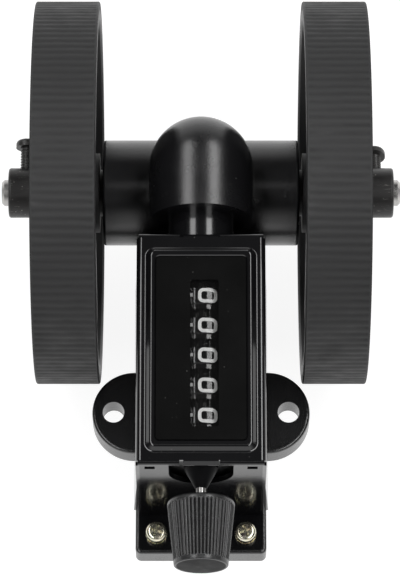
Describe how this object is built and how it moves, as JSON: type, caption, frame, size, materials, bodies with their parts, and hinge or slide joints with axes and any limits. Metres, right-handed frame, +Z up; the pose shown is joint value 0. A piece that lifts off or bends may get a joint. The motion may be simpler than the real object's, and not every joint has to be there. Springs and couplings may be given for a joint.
{
  "type": "cable length counter",
  "caption": "Wheel-type cable length counter: measuring wheels on a common axle drive a row of number wheels through skew gears under a domed housing, with a ribbed reset knob.",
  "frame": {"origin": "on the base's underside, midway between the wheels and straight below the axle", "axes": "X along the wheels' axle, Y along the counter with the reset knob at -Y, Z up from the underside of the base"},
  "size_m": [0.1104, 0.1668, 0.1062],
  "materials": {
    "casting_paint": "gloss black paint on a casting",
    "case_paint": "gloss black paint on sheet steel",
    "label_black": "flat black film",
    "lens_clear": "clear plastic strip",
    "bearing_bronze": "oiled sintered bronze",
    "bright_steel": "turned bright steel",
    "hub_steel": "black oxide, worn at the edge",
    "screw_black": "black oxide screw",
    "wheel_plastic": "moulded black plastic",
    "tread_rubber": "dark grey ribbed rubber",
    "gear_brass": "cut brass",
    "number_plastic": "black moulded plastic, white figures",
    "pinion_plastic": "natural white plastic",
    "frame_black": "black painted steel",
    "knob_plastic": "dark grey moulded plastic",
    "screw_zinc": "yellowish zinc plating"
  },
  "bodies": {
    "housing": {"base_casting": "casting_paint", "axle_bush_left": "bearing_bronze", "axle_bush_right": "bearing_bronze", "neck_sleeve": "casting_paint", "input_bush": "bearing_bronze", "counter_tray": "case_paint", "counter_cover": "case_paint", "label_plate": "label_black", "window_lens": "lens_clear", "frame_plate_front": "frame_black", "frame_plate_back": "frame_black", "frame_tie_left": "bright_steel", "frame_tie_right": "bright_steel", "pinion_shaft": "bright_steel", "reset_bush": "frame_black", "flat_washer_left": "screw_zinc", "flat_washer_right": "screw_zinc", "spring_washer_left": "screw_zinc", "spring_washer_right": "screw_zinc", "ledge_screw_left": "screw_zinc", "ledge_screw_right": "screw_zinc"},
    "axle": {"axle": "bright_steel", "axle_gear": "gear_brass", "wheel_left": "wheel_plastic", "wheel_right": "wheel_plastic", "tread_left": "tread_rubber", "tread_right": "tread_rubber", "hub_left": "hub_steel", "hub_right": "hub_steel", "hub_screw_left": "screw_black", "hub_screw_right": "screw_black", "thrust_washer_left": "bright_steel", "thrust_washer_right": "bright_steel"},
    "input": {"input_shaft": "bright_steel", "shaft_gear": "gear_brass", "shaft_spacer": "bright_steel", "drive_dog": "bright_steel", "number_wheel_1": "number_plastic"},
    "reset": {"reset_knob": "knob_plastic", "reset_shaft": "bright_steel", "knob_screw": "screw_black"},
    "number_wheel_2": {"number_wheel_2": "number_plastic"},
    "number_wheel_3": {"number_wheel_3": "number_plastic"},
    "number_wheel_4": {"number_wheel_4": "number_plastic"},
    "number_wheel_5": {"number_wheel_5": "number_plastic"},
    "pinion_1": {"pinion_1": "pinion_plastic"},
    "pinion_2": {"pinion_2": "pinion_plastic"},
    "pinion_3": {"pinion_3": "pinion_plastic"},
    "pinion_4": {"pinion_4": "pinion_plastic"}
  },
  "joints": [
    {"name": "axle_spin", "type": "hinge", "parent": "housing", "child": "axle", "pos_m": [0, 0, 0.0245], "axis": [1, 0, 0], "continuous": true},
    {"name": "input_spin", "type": "hinge", "parent": "housing", "child": "input", "pos_m": [0, 0, 0.0445], "axis": [0, 1, 0], "continuous": true},
    {"name": "reset_spin", "type": "hinge", "parent": "housing", "child": "reset", "pos_m": [0, 0, 0.0445], "axis": [0, 1, 0], "continuous": true},
    {"name": "number_wheel_2_spin", "type": "hinge", "parent": "housing", "child": "number_wheel_2", "pos_m": [0, 0, 0.0445], "axis": [0, 1, 0], "continuous": true},
    {"name": "number_wheel_3_spin", "type": "hinge", "parent": "housing", "child": "number_wheel_3", "pos_m": [0, 0, 0.0445], "axis": [0, 1, 0], "continuous": true},
    {"name": "number_wheel_4_spin", "type": "hinge", "parent": "housing", "child": "number_wheel_4", "pos_m": [0, 0, 0.0445], "axis": [0, 1, 0], "continuous": true},
    {"name": "number_wheel_5_spin", "type": "hinge", "parent": "housing", "child": "number_wheel_5", "pos_m": [0, 0, 0.0445], "axis": [0, 1, 0], "continuous": true},
    {"name": "pinion_1_spin", "type": "hinge", "parent": "housing", "child": "pinion_1", "pos_m": [0, 0, 0.0335], "axis": [0, 1, 0], "continuous": true},
    {"name": "pinion_2_spin", "type": "hinge", "parent": "housing", "child": "pinion_2", "pos_m": [0, 0, 0.0335], "axis": [0, 1, 0], "continuous": true},
    {"name": "pinion_3_spin", "type": "hinge", "parent": "housing", "child": "pinion_3", "pos_m": [0, 0, 0.0335], "axis": [0, 1, 0], "continuous": true},
    {"name": "pinion_4_spin", "type": "hinge", "parent": "housing", "child": "pinion_4", "pos_m": [0, 0, 0.0335], "axis": [0, 1, 0], "continuous": true}
  ],
  "couplings": [
    {"joint": "input_spin", "follows": "axle_spin", "ratio": 0.33333},
    {"joint": "number_wheel_2_spin", "follows": "axle_spin", "ratio": 0.033333},
    {"joint": "number_wheel_3_spin", "follows": "axle_spin", "ratio": 0.0033333},
    {"joint": "number_wheel_4_spin", "follows": "axle_spin", "ratio": 0.00033333},
    {"joint": "number_wheel_5_spin", "follows": "axle_spin", "ratio": 0.000033333},
    {"joint": "pinion_1_spin", "follows": "axle_spin", "ratio": -0.083333},
    {"joint": "pinion_2_spin", "follows": "axle_spin", "ratio": -0.0083333},
    {"joint": "pinion_3_spin", "follows": "axle_spin", "ratio": -0.00083333},
    {"joint": "pinion_4_spin", "follows": "axle_spin", "ratio": -0.000083333}
  ]
}
